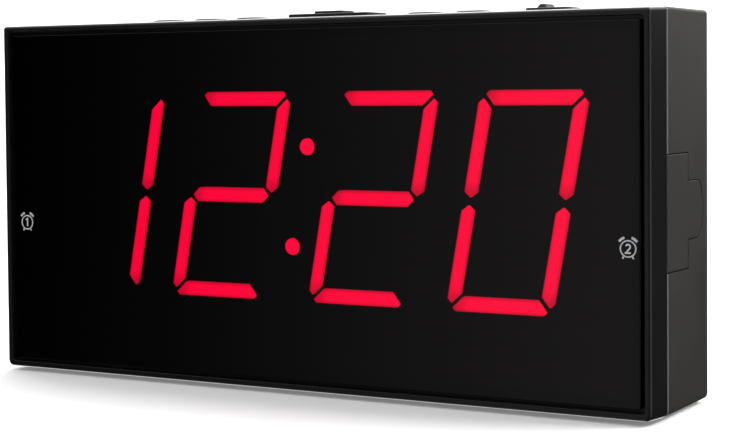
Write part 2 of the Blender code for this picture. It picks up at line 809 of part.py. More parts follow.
def speaker():
    place = (SPEAKER_X, 0, SPEAKER_Z)
    rim = INNER_BACK - FIT
    # Heights count from the middle plane towards the front, so what faces the grille is negative.
    frame_profile = [
        (22.8, -rim),
        (SPEAKER_RADIUS, -rim),
        (SPEAKER_RADIUS, -rim + 1.2),
        (22.6, -rim + 1.2),
        (12.4, -5.2),
        (6.8, -5.2),
        (6.8, -6.2),
        (12.0, -6.2),
        (21.9, -rim + 1.9),
        (22.8, -rim + 0.9),
    ]
    frame = turned("speaker_frame", frame_profile[::-1], place, closed=True)
    paint(frame, (0.25, 0.26, 0.27), 0.4, 1.0)
    cone_profile = [
        (0.0, -9.4),
        (4.0, -8.9),
        (5.6, -7.9),
        (19.2, -12.6),
        (20.4, -13.2),
        (21.4, -12.9),
        (21.4, -12.4),
        (20.4, -12.6),
        (19.4, -12.0),
        (6.2, -7.2),
        (6.2, -5.6),
        (5.4, -5.6),
        (5.4, -7.2),
        (4.0, -8.2),
        (0.0, -8.7),
    ]
    cone = turned("speaker_cone", cone_profile[::-1], place)
    paint(cone, (0.03, 0.03, 0.03), 0.8)
    magnet_profile = [
        (0.0, 1.5),
        (12.6, 1.5),
        (13.0, 1.1),
        (13.0, -4.5),
        (12.6, -4.9),
        (0.0, -4.9),
    ]
    magnet = turned("speaker_magnet", magnet_profile, place)
    paint(magnet, (0.12, 0.12, 0.13), 0.5, 0.6)


def wire(name, points, radius):
    """A round wire along smooth points, as a curve with a bevel."""
    curve = bpy.data.curves.new(name, "CURVE")
    curve.dimensions = "3D"
    curve.bevel_depth = radius * MM
    curve.bevel_resolution = 1
    curve.resolution_u = 4
    curve.use_fill_caps = True
    spline = curve.splines.new("BEZIER")
    spline.bezier_points.add(len(points) - 1)
    for bezier, point in zip(spline.bezier_points, points):
        bezier.co = Vector(point) * MM
        bezier.handle_left_type = "AUTO"
        bezier.handle_right_type = "AUTO"
    obj = bpy.data.objects.new(name, curve)
    parts.objects.link(obj)
    return obj


def main_board():
    centre = (30.0, (MAIN_BOARD_FRONT + MAIN_BOARD_BACK) / 2, 37.5)
    board = box("main_board", (72.0, BOARD, 57.0), centre)
    paint(board, (0.03, 0.13, 0.05), 0.45)
    face = MAIN_BOARD_BACK + 0.1
    clock = box("clock_chip", (14.0, 2.0, 14.0), (48.0, face + 1.0, 52.0))
    rounded_edges(clock, 0.3, segments=1)
    paint(clock, (0.02, 0.02, 0.022), 0.5)
    tuner = box("tuner_chip", (12.0, 1.6, 7.0), (12.0, face + 0.8, 46.0))
    rounded_edges(tuner, 0.3, segments=1)
    paint(tuner, (0.02, 0.02, 0.022), 0.5)
    can = [(0.0, 0.0), (3.7, 0.0), (4.0, -0.3), (4.0, -9.7), (3.7, -10.0), (0.0, -10.0)]
    capacitor = turned("filter_capacitor", can, (30.0, face, 52.0), steps=28)
    paint(capacitor, (0.04, 0.05, 0.12), 0.35)


def dc_jack():
    face = MAIN_BOARD_BACK + 0.15
    end = INNER_BACK - 0.15
    length, middle = along_y(face, end)
    jack = box("dc_jack", (9.0, length, 11.0), (JACK_X, middle, JACK_Z))
    floor = face + 1.6
    length, middle = along_y(floor, end + 1.0)
    cut(jack, drum("jack_bore", 3.1, length, (JACK_X, middle, JACK_Z), steps=12))
    length, middle = along_y(floor - 0.6, end - 0.8)
    add(jack, drum("jack_pin", 1.0, length, (JACK_X, middle, JACK_Z), steps=8))
    paint(jack, (0.02, 0.02, 0.02), 0.4)


def aerial_grommet():
    profile = [
        (1.0, -BACK + 0.1),
        (2.25, -BACK + 0.1),
        (2.25, -INNER_BACK + 0.2),
        (3.4, -INNER_BACK + 0.2),
        (3.4, -INNER_BACK + 1.2),
        (1.0, -INNER_BACK + 1.2),
    ]
    grommet = turned("aerial_grommet", profile[::-1], (AERIAL_X, 0, JACK_Z), steps=24, closed=True)
    paint(grommet, (0.02, 0.02, 0.02), 0.8)


def backup_cell():
    face = MAIN_BOARD_BACK + 0.15
    front, back = face, face + 7.2
    holder = extruded(
        "cell_holder",
        [rounded_rectangle(24.4, 22.6, 2.0)],
        back - front,
        (CELL_X, (front + back) / 2, CELL_Z),
        "front",
    )
    pocket_floor = face + 3.9
    length, middle = along_y(pocket_floor, back + 1.0)
    cut(holder, drum("cell_pocket", CELL_RADIUS + FIT, length, (CELL_X, middle, CELL_Z), steps=40))
    paint(holder, (0.03, 0.03, 0.03), 0.5)
    disc = [
        (0.0, 0.0),
        (CELL_RADIUS - 1.2, 0.0),
        (CELL_RADIUS - 1.2, -0.4),
        (CELL_RADIUS, -0.7),
        (CELL_RADIUS, -3.0),
        (CELL_RADIUS - 0.2, -3.2),
        (0.0, -3.2),
    ]
    cell = turned("backup_cell", disc, (CELL_X, pocket_floor + 0.2, CELL_Z))
    paint(cell, (0.7, 0.7, 0.7), 0.3, 1.0)


def ribbon_cable():
    """A flat cable that arches from the display board back to the main board."""
    start = DISPLAY_BOARD_FRONT + BOARD + 0.1
    end = MAIN_BOARD_FRONT - 0.1
    outer = (end - start) / 2
    inner = outer - 0.6
    steps = 12
    sweep = [math.pi * i / steps for i in range(steps + 1)]
    arch = [(outer * math.cos(angle), outer * math.sin(angle)) for angle in sweep]
    arch += [(inner * math.cos(angle), inner * math.sin(angle)) for angle in reversed(sweep)]
    cable = extruded("ribbon_cable", [arch], 20.0, (28.0, (start + end) / 2, 58.0), "side")
    paint(cable, (0.55, 0.55, 0.55), 0.6)


def speaker_lead():
    route = [(-4.0, 0.7, 34.0), (-12.0, 0.9, 36.0), (-19.0, 4.2, 39.5), (-21.2, 7.2, 41.0)]
    lead = wire("speaker_lead", route, 0.7)
    paint(lead, (0.5, 0.03, 0.02), 0.5)


clear_scene()
parts = new_collection("alarm_clock_radio")
cutters = new_collection("cutters")
front_bezel()
window_and_gasket()
rear_shell()
side_cover()
battery_door()
feet()
case_screws()
display_reflector()
lenses()
display_board()
for button_name, button_x in BUTTON_X.items():
    push_button(button_name, button_x)
    tact_switch(button_name.removesuffix("_button"), button_x)
snooze_bar()
tact_switch("snooze", SNOOZE_X)
slide_switch()
key_board()
speaker()
speaker_lead()
main_board()
dc_jack()
aerial_grommet()
backup_cell()
ribbon_cable()
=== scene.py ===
"""Looks for the alarm clock radio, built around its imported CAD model.

Every place comes from the CAD frame, in metres. Small sizes are written as millimetres times MM.
"""

import json
import math

import bmesh
import bpy
from mathutils import Matrix, Vector


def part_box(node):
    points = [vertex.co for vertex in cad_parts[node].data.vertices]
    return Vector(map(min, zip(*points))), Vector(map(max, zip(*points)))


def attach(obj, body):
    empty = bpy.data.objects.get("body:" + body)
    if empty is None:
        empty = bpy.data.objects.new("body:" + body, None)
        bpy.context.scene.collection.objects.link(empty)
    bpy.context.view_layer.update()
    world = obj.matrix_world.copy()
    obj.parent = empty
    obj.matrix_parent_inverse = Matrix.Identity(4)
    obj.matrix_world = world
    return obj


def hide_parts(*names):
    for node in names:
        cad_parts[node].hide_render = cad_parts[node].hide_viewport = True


MM = 0.001

# Camera: where it stands, how it is turned, its lens in millimetres, and its vertical shift
CAMERA_PLACE = Vector((0.20218, -0.34194, 0.06675))
CAMERA_AZIMUTH = math.radians(29.450)
CAMERA_PITCH = math.radians(2.200)
CAMERA_ROLL = math.radians(-0.504)
CAMERA_LENS = 87.12
CAMERA_SHIFT = -0.0896

# Case
FRONT_WIDTH = 161.6 * MM
FRONT_HEIGHT = 80.5 * MM
BEZEL_DEPTH = 7.75 * MM
INSIDE_WIDTH = 157.0 * MM
INSIDE_HEIGHT = 76.5 * MM
TOP_CORNER = 0.8 * MM
BOTTOM_CORNER = 1.5 * MM
FRONT_EDGE = 0.65 * MM
PARTING_EDGE = 0.15 * MM
SHELL_EDGE = 0.3 * MM
# Where the highlight painted along the shell's front edge is full and where it fades out, measured back
# from that edge
HIGHLIGHT_RIM_START = 0.30 * MM
HIGHLIGHT_RIM_END = 0.42 * MM
BACK_WALL = 2.0 * MM
FIT = 0.3 * MM
LIP_SIDE = 1.4 * MM
LIP_TOP = 1.35 * MM
LEDGE_DEPTH = 2.7 * MM
LEDGE_THICKNESS = 1.5 * MM
LEDGE_OPENING = (150.0 * MM, 70.0 * MM)
TONGUE_WALL = 1.5 * MM - FIT
TONGUE_REACH = 2.0 * MM
OVERLAP = 0.5 * MM

# Side cover, in Y and Z
COVER_STEP = 4.05 * MM
COVER_LOW = 29.1 * MM
COVER_HIGH = 52.85 * MM
TAB_LOW = 34.95 * MM
TAB_HIGH = 47.15 * MM
TAB_TIP = 13.35 * MM
TAB_RADIUS = 3.0 * MM
TAB_BULGE = 0.9 * MM
COVER_GAP = 0.2 * MM
BACKING_START = 3.1 * MM
BACKING_HALF_HEIGHT = 13.3 * MM

# Screws: posts on the bezel, and tunnels in the shell that they sit in
SCREW_X = 74.6 * MM
SCREW_HEIGHTS = (6.9 * MM, 75.6 * MM)
POST_RADIUS = 2.7 * MM
POST_BORE_RADIUS = 1.5 * MM
POST_BORE_DEPTH = 10.5 * MM
TUNNEL_RADIUS = 4.0 * MM
TUNNEL_FLOOR = 2.0 * MM
TUNNEL_FLOOR_THICKNESS = 1.4 * MM
HEAD_BORE_RADIUS = 2.9 * MM
SHANK_BORE_RADIUS = 1.6 * MM

# Holes in the back wall and the bottom
SOUND_X = -38.0 * MM
SOUND_RADIUS = 20.0 * MM
SOUND_ROWS = 9
SOUND_SLOT = 1.8 * MM
JACK_X = 16.5 * MM
JACK_Z = 14.5 * MM
JACK_HOLE_RADIUS = 4.2 * MM
AERIAL_X = 2.0 * MM
AERIAL_HOLE_RADIUS = 2.5 * MM
CELL_OPENING = (26.0 * MM, 24.0 * MM)
DOOR_RECESS = (28.0 * MM, 26.0 * MM)
DOOR_RECESS_RADIUS = 1.5 * MM
DOOR_RADIUS = 1.3 * MM
DOOR_PLATE = 0.85 * MM
DOOR_PLUG_INSET = 1.05 * MM
NAIL_SLOT = (9.0 * MM, 1.6 * MM)
NAIL_SLOT_RISE = 9.0 * MM
FOOT_POCKET_RADIUS = 3.9 * MM
FOOT_POCKET_DEPTH = 0.8 * MM

# Controls on the top: where their row lies, then sizes in millimetres as level() takes them
CONTROL_Y = 2.55 * MM
CONTROL_GAP = 0.2
KEY_SIZE = (8.0, 6.5)
KEY_RADIUS = 2.8
KEY_STEM = (4.0, 4.0, 0.5)
FLANGE_THICKNESS = 1.1
SNOOZE_SIZE = (21.0, 9.0)
SNOOZE_RADIUS = 1.1
SNOOZE_TIER = (7.6, 5.6, 0.8, -0.8)
SNOOZE_TIER_HEIGHT = 0.6
SWITCH_STEM = (3.6, 1.8, 0.3)
SWITCH_BASE = (10.0, 7.0, 0.8)
SWITCH_BASE_HEIGHT = 0.65
SWITCH_CLEARANCE = 0.2
SWITCH_SLOT = (8.2 * MM, 2.6 * MM)
RIDGE_SHIFT = -1.5
KEYS = ("clock_set_button", "alarm_1_button", "alarm_2_button", "down_button", "up_button")

# Display
SLANT = 0.183
DIGIT_HALF_WIDTH = 12.05 * MM
DIGIT_HALF_HEIGHT = 22.75 * MM
SEGMENT = 3.1 * MM
COLON_RADIUS = 1.8 * MM
COLON_RISE = 10.85 * MM
GUIDE_PLATE = 0.7 * MM
GUIDE_BARS_END = 0.8 * MM
WINDOW_OPENING = (144.0 * MM, 56.0 * MM)
ICON_PLACES = ((-74.7 * MM, 35.3 * MM), (75.8 * MM, 34.6 * MM))
LIT_SEGMENTS = ("bc", "abdeg", "abdeg", "abcdef")
LED_RED = (1.0, 0.0, 0.120)
LED_STRENGTH = 6.6
WINDOW_TINT = (0.16, 0.045, 0.055)

# Light: the sky, the sky low behind the object from left to right, the horizon at the far right,
# and the floor's own glow from near to far, weaker near the object, which paints shade on the floor round
# it
SKY = 0.9
SKY_BEHIND = (2.4, 0.5)
FLANK = 1.1
FLOOR_GLOW_AND_SHADE = (0.17, 0.5)

FACING = {
    "top": (0.0, 0.0, 0.0),
    "front": (math.pi / 2, 0.0, 0.0),
    "back": (math.pi / 2, 0.0, math.pi),
    "side": (math.pi / 2, 0.0, math.pi / 2),
}

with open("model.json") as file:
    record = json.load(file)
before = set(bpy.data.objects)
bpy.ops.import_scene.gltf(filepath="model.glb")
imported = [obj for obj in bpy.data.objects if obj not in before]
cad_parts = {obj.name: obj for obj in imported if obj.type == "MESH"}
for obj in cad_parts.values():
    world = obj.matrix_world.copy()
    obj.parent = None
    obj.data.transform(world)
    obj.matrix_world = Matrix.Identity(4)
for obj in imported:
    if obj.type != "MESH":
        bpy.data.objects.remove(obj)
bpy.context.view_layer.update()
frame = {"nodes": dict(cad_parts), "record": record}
nodes = frame["nodes"]
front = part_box("front_bezel")[0].y
parting = front + BEZEL_DEPTH
shell_low, shell_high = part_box("rear_shell")
back = shell_high.y
bottom, top = shell_low.z, shell_high.z
case_width = shell_high.x - shell_low.x
case_height = top - bottom
case_middle = (top + bottom) / 2
side_wall = (case_width - INSIDE_WIDTH) / 2
flange_top = (case_middle + INSIDE_HEIGHT / 2 - FIT) / MM
window_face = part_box("display_window")[0].y


# ---------------------------------------------------------------- node materials


class Tree:
    """A Principled material whose node tree is built up call by call."""

    def __init__(self, name, colour, roughness, metallic=0.0):
        self.material = bpy.data.materials.new(name)
        self.material.use_nodes = True
        self.nodes = self.material.node_tree.nodes
        self.links = self.material.node_tree.links
        self.shader = self.nodes["Principled BSDF"]
        self.shader.inputs["Base Color"].default_value = (*colour, 1.0)
        self.shader.inputs["Roughness"].default_value = roughness
        self.shader.inputs["Metallic"].default_value = metallic
        self.place = self.nodes.new("ShaderNodeTexCoord").outputs["Object"]

    def add(self, kind, sockets=(), **settings):
        node = self.nodes.new(kind)
        for key, value in settings.items():
            setattr(node, key, value)
        for key, value in dict(sockets).items():
            if isinstance(value, bpy.types.NodeSocket):
                self.links.new(value, node.inputs[key])
            else:
                node.inputs[key].default_value = value
        return node

    def noise(self, size, detail=2.0, stretch=None):
        """Noise with features about size metres across, longer along the axes that stretch names."""
        place = self.place
        if stretch:
            mapping = self.add("ShaderNodeMapping", {"Vector": place, "Scale": stretch})
            place = mapping.outputs["Vector"]
        sockets = {"Vector": place, "Scale": 1.0 / size, "Detail": detail}
        return self.add("ShaderNodeTexNoise", sockets).outputs["Fac"]

    def ramp(self, value, stops):
        """A colour ramp through (position, colour) stops."""
        node = self.add("ShaderNodeValToRGB", {"Fac": value})
        elements = node.color_ramp.elements
        while len(elements) < len(stops):
            elements.new(0.5)
        for element, (position, colour) in zip(elements, stops):
            element.position = position
            element.color = (*colour, 1.0)
        return node.outputs["Color"]

    def remap(self, value, low, high, start=0.3, end=0.7):
        sockets = {"Value": value, "From Min": start, "From Max": end, "To Min": low, "To Max": high}
        return self.add("ShaderNodeMapRange", sockets).outputs["Result"]

    def feed(self, socket, value):
        self.links.new(value, self.shader.inputs[socket])

    def bump(self, height, depth, strength=1.0):
        sockets = {"Height": height, "Distance": depth, "Strength": strength}
        node = self.add("ShaderNodeBump", sockets)
        previous = self.shader.inputs["Normal"].links
        if previous:
            self.links.new(previous[0].from_socket, node.inputs["Normal"])
        self.feed("Normal", node.outputs["Normal"])


def shades(colour, spread):
    """The colour made darker and lighter by the spread, a share of it."""
    dark = tuple(part * (1 - spread) for part in colour)
    light = tuple(part * (1 + spread) for part in colour)
    return dark, light


def moulded(name, colour, roughness, grain=0.22 * MM, depth=0.012 * MM, spread=0.12, gleam=0.5):
    """Moulded plastic: fine spark-eroded grain, with slow changes of shade and gloss."""
    tree = Tree(name, colour, roughness)
    tree.shader.inputs["Specular IOR Level"].default_value = gleam
    dark, light = shades(colour, spread)
    broad = tree.noise(18 * MM, detail=3.0)
    fine = tree.noise(grain)
    tree.feed("Base Color", tree.ramp(broad, [(0.3, dark), (0.7, light)]))
    tree.feed("Roughness", tree.remap(fine, roughness - 0.05, roughness + 0.05))
    tree.bump(fine, depth)
    return tree.material


def painted_rim_highlight(material, height, highlight_colour):
    """Paints a highlight into the shell's base colour: a lighter rim along its front edge."""
    tree = material.node_tree
    shader = tree.nodes["Principled BSDF"]
    place = tree.nodes.new("ShaderNodeTexCoord").outputs["Object"]
    parts = tree.nodes.new("ShaderNodeSeparateXYZ")
    tree.links.new(place, parts.inputs[0])
    rim = tree.nodes.new("ShaderNodeMapRange")
    tree.links.new(parts.outputs["Y"], rim.inputs["Value"])
    # The share of painted highlight: full up to the start, none past the end.
    start, end = height + HIGHLIGHT_RIM_START, height + HIGHLIGHT_RIM_END
    for key, number in (("From Min", start), ("From Max", end), ("To Min", 1.0), ("To Max", 0.0)):
        rim.inputs[key].default_value = number
    lighter = tree.nodes.new("ShaderNodeMix")
    lighter.data_type = "RGBA"
    tree.links.new(rim.outputs["Result"], lighter.inputs["Factor"])
    tree.links.new(shader.inputs["Base Color"].links[0].from_socket, lighter.inputs[6])
    lighter.inputs[7].default_value = (*highlight_colour, 1.0)
    tree.links.new(lighter.outputs[2], shader.inputs["Base Color"])


def metal(name, colour, roughness, stretch=(1.0, 1.0, 1.0), size=0.5 * MM):
    """Plated or drawn metal, with its grain drawn out along one axis."""
    tree = Tree(name, colour, roughness, 1.0)
    grain = tree.noise(size, 3.0, stretch)
    dark, light = shades(colour, 0.15)
    tree.feed("Base Color", tree.ramp(grain, [(0.3, dark), (0.7, light)]))
    tree.feed("Roughness", tree.remap(grain, roughness * 0.7, roughness * 1.3))
    tree.bump(grain, 0.004 * MM)
    return tree.material


def circuit_board(name):
    """Green solder mask over copper tracks, with a faint woven glass grain."""
    tree = Tree(name, (0.02, 0.12, 0.05), 0.4)
    cells = tree.add(
        "ShaderNodeTexVoronoi",
        {"Vector": tree.place, "Scale": 1 / (4 * MM)},
        distance="MANHATTAN",
        feature="F1",
    )
    tracks = tree.ramp(
        cells.outputs["Distance"],
        [(0.30, (0.012, 0.085, 0.03)), (0.36, (0.03, 0.19, 0.07)), (0.44, (0.012, 0.085, 0.03))],
    )
    tree.feed("Base Color", tracks)
    weave = tree.noise(0.4 * MM)
    tree.feed("Roughness", tree.remap(weave, 0.3, 0.5))
    tree.bump(cells.outputs["Distance"], 0.03 * MM)
    tree.bump(weave, 0.006 * MM)
    return tree.material


def smoked_acrylic(name):
    """The window: a dark see-through pane, opaque at its rim, with faint waviness and soft smears."""
    tree = Tree(name, WINDOW_TINT, 0.03)
    across = tree.add("ShaderNodeSeparateXYZ", {"Vector": tree.place}).outputs
    low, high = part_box("display_window")
    beyond = []
    for axis, half in (("X", (high.x - low.x) / 2), ("Y", (high.z - low.z) / 2)):
        size = tree.add("ShaderNodeMath", {0: across[axis]}, operation="ABSOLUTE").outputs[0]
        beyond.append(tree.remap(size, 0.0, 1.0, half - 2.0 * MM, half - 1.6 * MM))
    rim = tree.add("ShaderNodeMath", {0: beyond[0], 1: beyond[1]}, operation="MAXIMUM").outputs[0]
    tree.feed("Base Color", tree.ramp(rim, [(0.0, WINDOW_TINT), (1.0, (0.002, 0.002, 0.002))]))
    tree.shader.inputs["Transmission Weight"].default_value = 1.0
    tree.shader.inputs["IOR"].default_value = 1.49
    smear = tree.noise(30 * MM, 3.0, (1.0, 1.0, 2.5))
    tree.feed("Roughness", tree.remap(smear, 0.015, 0.07))
    tree.bump(tree.noise(25 * MM), 0.02 * MM, 0.3)
    return tree.material


def segment_resin(name, lit, even=False):
    """The resin in a segment: frosted, and when lit, dimmer at the left or lower end."""
    tree = Tree(name, (0.35, 0.01, 0.02) if lit else (0.01, 0.006, 0.0065), 0.45)
    tree.shader.inputs["Specular IOR Level"].default_value = 0.1
    frost = tree.noise(0.3 * MM)
    tree.bump(frost, 0.01 * MM)
    tree.feed("Roughness", tree.remap(frost, 0.35, 0.55))
    if not lit:
        shade = tree.ramp(frost, [(0.3, (0.008, 0.005, 0.0055)), (0.7, (0.013, 0.008, 0.008))])
        tree.feed("Base Color", shade)
        return tree.material
    if even:
        tree.shader.inputs["Emission Color"].default_value = (*LED_RED, 1.0)
        tree.shader.inputs["Emission Strength"].default_value = LED_STRENGTH
        return tree.material
    across = tree.add("ShaderNodeUVMap", uv_map="along").outputs["UV"]
    parts = tree.add("ShaderNodeSeparateXYZ", {"Vector": across}).outputs
    dim = tuple(part * 0.5 for part in LED_RED)
    tree.feed("Emission Color", tree.ramp(parts["X"], [(0.0, dim), (0.17, LED_RED), (1.0, LED_RED)]))
    aside = tree.add("ShaderNodeMath", {0: parts["Y"], 1: 0.5}, operation="SUBTRACT").outputs[0]
    aside = tree.add("ShaderNodeMath", {0: aside}, operation="ABSOLUTE").outputs[0]
    tree.feed("Emission Strength", tree.remap(aside, LED_STRENGTH, LED_STRENGTH * 0.6, 0.28, 0.5))
    return tree.material


def screen_print(name, colour):
    tree = Tree(name, colour, 0.5)
    speckle = tree.noise(0.12 * MM, 3.0)
    dark, light = shades(colour, 0.18)
    tree.feed("Base Color", tree.ramp(speckle, [(0.35, dark), (0.65, light)]))
    tree.feed("Roughness", tree.remap(speckle, 0.42, 0.6))
    return tree.material


def rubber(name, colour):
    tree = Tree(name, colour, 0.85)
    fine = tree.noise(0.15 * MM, 4.0)
    dark, light = shades(colour, 0.25)
    tree.feed("Base Color", tree.ramp(fine, [(0.3, dark), (0.7, light)]))
    tree.feed("Roughness", tree.remap(fine, 0.75, 0.95))
    tree.bump(fine, 0.03 * MM)
    return tree.material


SHELL_COLOUR = (0.0235, 0.0225, 0.0212)
BEZEL_BLACK = moulded("bezel_black", (0.0058, 0.0058, 0.0060), 0.21, depth=0.005 * MM)
SHELL_GREY = moulded("shell_grey", SHELL_COLOUR, 0.48, depth=0.02 * MM)
# The shell body's own copy of the grey, with a highlight painted into its base colour along its front edge.
SHELL_BODY = moulded("shell_grey_painted_rim", SHELL_COLOUR, 0.48, depth=0.02 * MM)
painted_rim_highlight(SHELL_BODY, shell_low.y, (0.10, 0.097, 0.092))
KEY_BLACK = moulded("key_black", (0.011, 0.011, 0.0115), 0.42, grain=0.3 * MM, depth=0.008 * MM)
WINDOW = smoked_acrylic("window_acrylic")
BAND_BLACK = moulded("band_black", (0.002, 0.002, 0.002), 0.5, depth=0.004 * MM, gleam=0.05)
LIT = segment_resin("segment_lit", True)
LIT_DOT = segment_resin("colon_dot_lit", True, even=True)
UNLIT = segment_resin("segment_unlit", False)
PRINT_GREY = screen_print("print_grey", (0.37, 0.375, 0.39))
RUBBER = rubber("foot_rubber", (0.018, 0.018, 0.018))

CARRIED = {
    "reflector_plastic": moulded("reflector_black", (0.004, 0.004, 0.004), 0.6, gleam=0.05),
    "foam": rubber("gasket_foam", (0.02, 0.02, 0.02)),
    "screw_steel": metal("screw_zinc", (0.5, 0.5, 0.51), 0.32),
    "circuit_board": circuit_board("board_green"),
    "chip_plastic": moulded("chip_black", (0.018, 0.018, 0.019), 0.5, grain=0.15 * MM),
    "plunger_plastic": moulded("plunger_cream", (0.6, 0.54, 0.46), 0.4),
    "switch_steel": metal("switch_plate", (0.62, 0.61, 0.58), 0.3, (1.0, 1.0, 8.0)),
    "speaker_steel": metal("speaker_steel", (0.3, 0.3, 0.31), 0.42, (6.0, 1.0, 1.0)),
    "magnet_iron": moulded("magnet_ferrite", (0.05, 0.05, 0.053), 0.6, grain=0.4 * MM),
    "cone_paper": moulded("cone_paper", (0.025, 0.025, 0.026), 0.85, grain=0.6 * MM, depth=0.06 * MM),
    "capacitor_sleeve": moulded("capacitor_sleeve", (0.02, 0.03, 0.11), 0.3),
    "cable_grey": moulded("ribbon_grey", (0.45, 0.45, 0.46), 0.5, grain=0.6 * MM),
    "lead_red": moulded("lead_red", (0.5, 0.02, 0.015), 0.4),
    "foot_rubber": RUBBER,
}


# ---------------------------------------------------------------- outlines, in metres


def circle(radius, centre=(0.0, 0.0), steps=48):
    turn = 2 * math.pi / steps
    return [
        (centre[0] + radius * math.cos(i * turn), centre[1] + radius * math.sin(i * turn))
        for i in range(steps)
    ]


def rounded_rectangle(width, height, radius, centre=(0.0, 0.0), steps=8):
    points = []
    for quarter, (sx, sy) in enumerate(((1, 1), (-1, 1), (-1, -1), (1, -1))):
        cx = centre[0] + sx * (width / 2 - radius)
        cy = centre[1] + sy * (height / 2 - radius)
        for i in range(steps + 1):
            angle = math.pi / 2 * (quarter + i / steps)
            points.append((cx + radius * math.cos(angle), cy + radius * math.sin(angle)))
    return points


def rectangle(width, height, centre=(0.0, 0.0)):
    (x, y), half, rise = centre, width / 2, height / 2
    return [(x - half, y - rise), (x + half, y - rise), (x + half, y + rise), (x - half, y + rise)]


def arc(radius, start, end, steps=12):
    """Points along part of a circle, from one angle in degrees to another."""
    angles = [math.radians(start + (end - start) * i / steps) for i in range(steps + 1)]
    return [(radius * math.cos(angle), radius * math.sin(angle)) for angle in angles]


def stroke(path, width):
    """The outline of a pen line drawn along the path, with mitred bends and square ends."""
    left, right = [], []
    for i, (x, y) in enumerate(path):
        sides = []
        for a, b in ((i - 1, i), (i, i + 1)):
            if a >= 0 and b < len(path):
                dx, dy = path[b][0] - path[a][0], path[b][1] - path[a][1]
                length = math.hypot(dx, dy)
                sides.append((-dy / length, dx / length))
        nx, ny = sum(n[0] for n in sides), sum(n[1] for n in sides)
        length = math.hypot(nx, ny)
        nx, ny = nx / length, ny / length
        reach = width / 2 / (nx * sides[0][0] + ny * sides[0][1])
        left.append((x + nx * reach, y + ny * reach))
        right.append((x - nx * reach, y - ny * reach))
    return left + right[::-1]


def slanted(points):
    return [(x + SLANT * y, y) for x, y in points]


# ---------------------------------------------------------------- meshes and pieces


def link(name, mesh):
    obj = bpy.data.objects.new(name, mesh)
    bpy.context.scene.collection.objects.link(obj)
    return obj


def flat_solid(name, outlines, thickness, centre, facing="top"):
    """Outlines given a thickness. One inside another is a hole."""
    curve = bpy.data.curves.new(name, "CURVE")
    curve.dimensions = "2D"
    curve.fill_mode = "BOTH"
    curve.extrude = thickness / 2
    for outline in outlines:
        spline = curve.splines.new("POLY")
        spline.points.add(len(outline) - 1)
        for point, (x, y) in zip(spline.points, outline):
            point.co = (x, y, 0.0, 1.0)
        spline.use_cyclic_u = True
    guide = link(name + "_guide", curve)
    graph = bpy.context.evaluated_depsgraph_get()
    mesh = bpy.data.meshes.new_from_object(guide.evaluated_get(graph))
    bpy.data.objects.remove(guide)
    bm = bmesh.new()
    bm.from_mesh(mesh)
    bmesh.ops.remove_doubles(bm, verts=bm.verts, dist=0.001 * MM)
    bmesh.ops.dissolve_limit(bm, angle_limit=math.radians(1), verts=bm.verts, edges=bm.edges)
    bmesh.ops.recalc_face_normals(bm, faces=bm.faces)
    bm.to_mesh(mesh)
    bm.free()
    mesh.name = name
    obj = link(name, mesh)
    obj.rotation_euler = FACING[facing]
    obj.location = centre
    return obj


def block(name, low, high):
    bm = bmesh.new()
    bmesh.ops.create_cube(bm, size=1.0)
    bmesh.ops.scale(bm, vec=Vector(high) - Vector(low), verts=bm.verts)
    mesh = bpy.data.meshes.new(name)
    bm.to_mesh(mesh)
    bm.free()
    obj = link(name, mesh)
    obj.location = (Vector(low) + Vector(high)) / 2
    return obj


def skinned(name, outlines, centre):
    """A solid whose skin joins each outline of 3-D points to the next, with flat ends."""
    bm = bmesh.new()
    rings = [[bm.verts.new(point) for point in outline] for outline in outlines]
    for low, high in zip(rings, rings[1:]):
        for i in range(len(low)):
            bm.faces.new((low[i - 1], low[i], high[i], high[i - 1]))
    bm.faces.new(rings[0])
    bm.faces.new(rings[-1])
    bmesh.ops.recalc_face_normals(bm, faces=bm.faces)
    mesh = bpy.data.meshes.new(name)
    bm.to_mesh(mesh)
    bm.free()
    obj = link(name, mesh)
    obj.location = centre
    return obj


def level(height, width, depth, radius, shift=0.0):
    """A horizontal rounded outline of a key, from its sizes in millimetres."""
    outline = rounded_rectangle(width * MM, depth * MM, radius * MM, (shift * MM, 0.0), 10)
    return [(x, y, height * MM) for x, y in outline]


def combine(target, tool, operation="DIFFERENCE"):
    """Applies one Boolean to the target's mesh, and removes the tool."""
    modifier = target.modifiers.new("combine", "BOOLEAN")
    modifier.operation = operation
    modifier.solver = "EXACT"
    modifier.object = tool
    graph = bpy.context.evaluated_depsgraph_get()
    mesh = bpy.data.meshes.new_from_object(target.evaluated_get(graph))
    target.modifiers.clear()
    target.data = mesh
    bpy.data.objects.remove(tool)


def soften(obj, width, segments=3, angle=32.0):
    """Rounds the piece's edges, and shades it smooth with its flat faces kept flat."""
    bevel = obj.modifiers.new("edges", "BEVEL")
    bevel.width = width
    bevel.segments = segments
    bevel.limit_method = "ANGLE"
    bevel.angle_limit = math.radians(angle)
    bevel.harden_normals = True
    bevel.miter_outer = "MITER_ARC"
    obj.data.shade_smooth()
    return obj


def piece(obj, body, material, replaces=()):
    """Puts the finished object on its CAD body, with its material."""
    obj.data.materials.clear()
    obj.data.materials.append(material)
    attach(obj, body)
    if replaces:
        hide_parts(*replaces)


# ---------------------------------------------------------------- case


def case_outline(width, height, inset=0.0, steps=10):
    """The case seen from the front, about its middle, with tighter corners at the top."""
    half_width, half_height = width / 2 - inset, height / 2 - inset
    points = []
    for quarter, (sx, sz) in enumerate(((1, 1), (-1, 1), (-1, -1), (1, -1))):
        radius = (TOP_CORNER if sz > 0 else BOTTOM_CORNER) - inset
        x, z = sx * (half_width - radius), sz * (half_height - radius)
        for i in range(steps + 1):
            angle = math.pi / 2 * (quarter + i / steps)
            points.append((x + radius * math.cos(angle), z + radius * math.sin(angle)))
    return points


